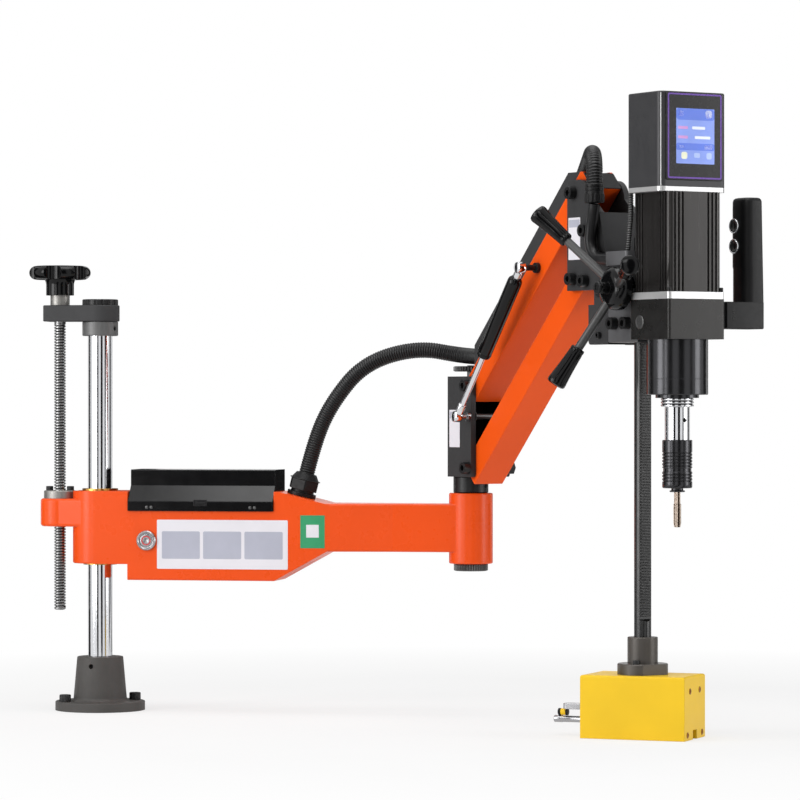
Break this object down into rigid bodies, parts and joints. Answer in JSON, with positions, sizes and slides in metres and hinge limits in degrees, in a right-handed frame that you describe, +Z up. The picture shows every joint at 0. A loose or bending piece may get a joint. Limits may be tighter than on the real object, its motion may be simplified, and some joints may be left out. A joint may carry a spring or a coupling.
{
  "type": "arm tapping machine",
  "caption": "Servo tapping head on a parallelogram arm with gas spring, hinged to a swinging arm that is raised by a screw along a column, with a rack post on a magnetic foot.",
  "frame": {"origin": "centre of the base flange's underside, on the column axis", "axes": "+Z up along the column, +X along the first arm from the column to the elbow"},
  "size_m": [1.0563, 0.5614, 0.82],
  "materials": {
    "cast_grey": "dark grey hammered paint",
    "chrome": "polished",
    "steel_black": "black oxide, satin",
    "steel": "machined",
    "orange": "orange gloss powder coat",
    "brass": "machined",
    "plastic_black": "moulded, satin",
    "knob": "phenolic, polished",
    "alu": "milled",
    "alu_grey": "bead blasted",
    "motor_black": "black anodised extrusion",
    "yellow": "yellow paint",
    "screen": "lit display",
    "conduit": "corrugated",
    "hose": "wound steel hose",
    "red_button": "polished",
    "green_button": "polished"
  },
  "bodies": {
    "column": {"base_flange": "cast_grey", "column_tube": "chrome", "thrust_collar": "steel_black", "column_cap": "steel_black"},
    "swing_bracket": {"top_bracket": "steel_black"},
    "height_screw": {"lead_screw": "steel", "screw_collar": "steel", "star_knob": "knob"},
    "arm_1": {"arm_casting": "orange", "column_bushes": "brass", "screw_nut": "brass", "tool_case": "plastic_black", "power_button_bezel": "steel", "gland_body": "plastic_black", "gland_nut": "plastic_black", "boss_bushes": "brass", "conduit_lower": "conduit"},
    "power_switch": {"power_button": "steel"},
    "lid": {"case_lid": "plastic_black"},
    "elbow": {"swivel_shaft": "steel", "swivel_collar": "steel_black", "shaft_nuts": "steel_black", "elbow_bracket": "steel_black", "elbow_pivot_bolts": "steel_black", "lower_ball_stud": "steel"},
    "upper_member": {"upper_link": "orange", "cable_trough": "steel_black", "upper_ball_stud": "steel_black", "conduit_upper": "conduit"},
    "lower_member": {"lower_link": "orange"},
    "spring_rod": {"gas_spring_rod": "chrome"},
    "spring_barrel": {"gas_spring_cylinder": "steel_black"},
    "head": {"head_bracket": "steel_black", "head_bolts": "steel_black", "feed_box": "alu_grey", "gearbox_block": "steel_black", "reducer_housing": "steel", "mid_plate": "alu", "motor_body": "motor_black", "top_plate": "alu", "control_box": "steel_black", "display_panel": "screen", "grip": "plastic_black", "conduit_connector": "plastic_black", "motor_lead": "conduit", "motor_hose": "hose"},
    "capstan": {"pinion_shaft": "steel", "capstan_hub": "steel_black", "capstan_rods": "steel", "capstan_knobs": "knob"},
    "post": {"rack_post": "steel", "post_flange": "steel_black", "magnet_base": "yellow"},
    "magnet_switch": {"magnet_lever": "steel"},
    "spindle_unit": {"spindle": "chrome", "chuck_body": "steel_black", "tap": "steel"},
    "sleeve": {"chuck_sleeve": "steel_black"},
    "upper_button": {"grip_button_upper": "green_button"},
    "lower_button": {"grip_button_lower": "red_button"}
  },
  "joints": [
    {"name": "arm_swing", "type": "hinge", "parent": "column", "child": "swing_bracket", "pos_m": [0, 0, 0.5535], "axis": [0, 0, 1], "range_deg": [-180, 180]},
    {"name": "screw_turn", "type": "hinge", "parent": "swing_bracket", "child": "height_screw", "pos_m": [-0.058, 0, 0.5535], "axis": [0, 0, 1], "range_deg": [-18000.5, 9900.5]},
    {"name": "arm_lift", "type": "slide", "parent": "swing_bracket", "child": "arm_1", "axis": [0, 0, 1], "range_m": [-0.11, 0.2]},
    {"name": "power_press", "type": "slide", "parent": "arm_1", "child": "power_switch", "axis": [0, 1, 0], "range_m": [0, 0.0025], "stiffness_N_per_m": 400},
    {"name": "lid_open", "type": "hinge", "parent": "arm_1", "child": "lid", "pos_m": [0.1525, 0.044, 0.292], "axis": [-1, 0, 0], "range_deg": [0, 105]},
    {"name": "elbow_swivel", "type": "hinge", "parent": "arm_1", "child": "elbow", "pos_m": [0.525, 0, 0.33], "axis": [0, 0, 1], "range_deg": [-100, 170]},
    {"name": "arm_2_lift", "type": "hinge", "parent": "elbow", "child": "upper_member", "pos_m": [0.55344, -0.03225, 0.452], "axis": [-0.7501, -0.6613, 0], "range_deg": [-54, 16], "deforming": ["conduit_lower"]},
    {"name": "lower_member_turn", "type": "hinge", "parent": "elbow", "child": "lower_member", "pos_m": [0.55344, -0.03225, 0.34], "axis": [-0.7501, -0.6613, 0], "range_deg": [-54.02, 16.02]},
    {"name": "spring_swing", "type": "hinge", "parent": "elbow", "child": "spring_rod", "pos_m": [0.51792, -0.06757, 0.41], "axis": [-0.7501, -0.6613, 0], "range_deg": [-49.46, 14.69]},
    {"name": "spring_stroke", "type": "slide", "parent": "spring_rod", "child": "spring_barrel", "axis": [0.4132, -0.4687, 0.7808], "range_m": [-0.03348, 0.00993]},
    {"name": "head_level", "type": "hinge", "parent": "upper_member", "child": "head", "pos_m": [0.72469, -0.22651, 0.70208], "axis": [-0.7501, -0.6613, 0], "range_deg": [-16.02, 54.02], "deforming": ["conduit_upper"]},
    {"name": "capstan_turn", "type": "hinge", "parent": "head", "child": "capstan", "pos_m": [0.80987, -0.32312, 0.575], "axis": [0.7501, 0.6613, 0], "range_deg": [-294.66, 1178.66]},
    {"name": "post_slide", "type": "slide", "parent": "head", "child": "post", "axis": [0, 0, 1], "range_m": [-0.04501, 0.18001]},
    {"name": "magnet_turn", "type": "hinge", "parent": "post", "child": "magnet_switch", "pos_m": [0.74067, -0.29923, 0.0206], "axis": [0.9796, -0.2011, 0], "range_deg": [0, 90]},
    {"name": "spindle_turn", "type": "hinge", "parent": "head", "child": "spindle_unit", "pos_m": [0.85037, -0.36906, 0.45], "axis": [0, 0, 1], "continuous": true},
    {"name": "sleeve_pull", "type": "slide", "parent": "spindle_unit", "child": "sleeve", "axis": [0, 0, 1], "range_m": [0, 0.004], "stiffness_N_per_m": 300},
    {"name": "upper_press", "type": "slide", "parent": "head", "child": "upper_button", "axis": [0.7501, 0.6613, 0], "range_m": [0, 0.0025], "stiffness_N_per_m": 400},
    {"name": "lower_press", "type": "slide", "parent": "head", "child": "lower_button", "axis": [0.7501, 0.6613, 0], "range_m": [0, 0.0025], "stiffness_N_per_m": 400}
  ],
  "couplings": [
    {"joint": "screw_turn", "follows": "arm_lift", "rad_per_m": -1570.8},
    {"joint": "lower_member_turn", "follows": "arm_2_lift", "ratio": 1},
    {"joint": "spring_swing", "follows": "arm_2_lift", "ratio": 0.915},
    {"joint": "spring_stroke", "follows": "arm_2_lift", "m_per_rad": 0.0355},
    {"joint": "head_level", "follows": "arm_2_lift", "ratio": -1},
    {"joint": "post_slide", "follows": "capstan_turn", "m_per_rad": 0.00875}
  ]
}
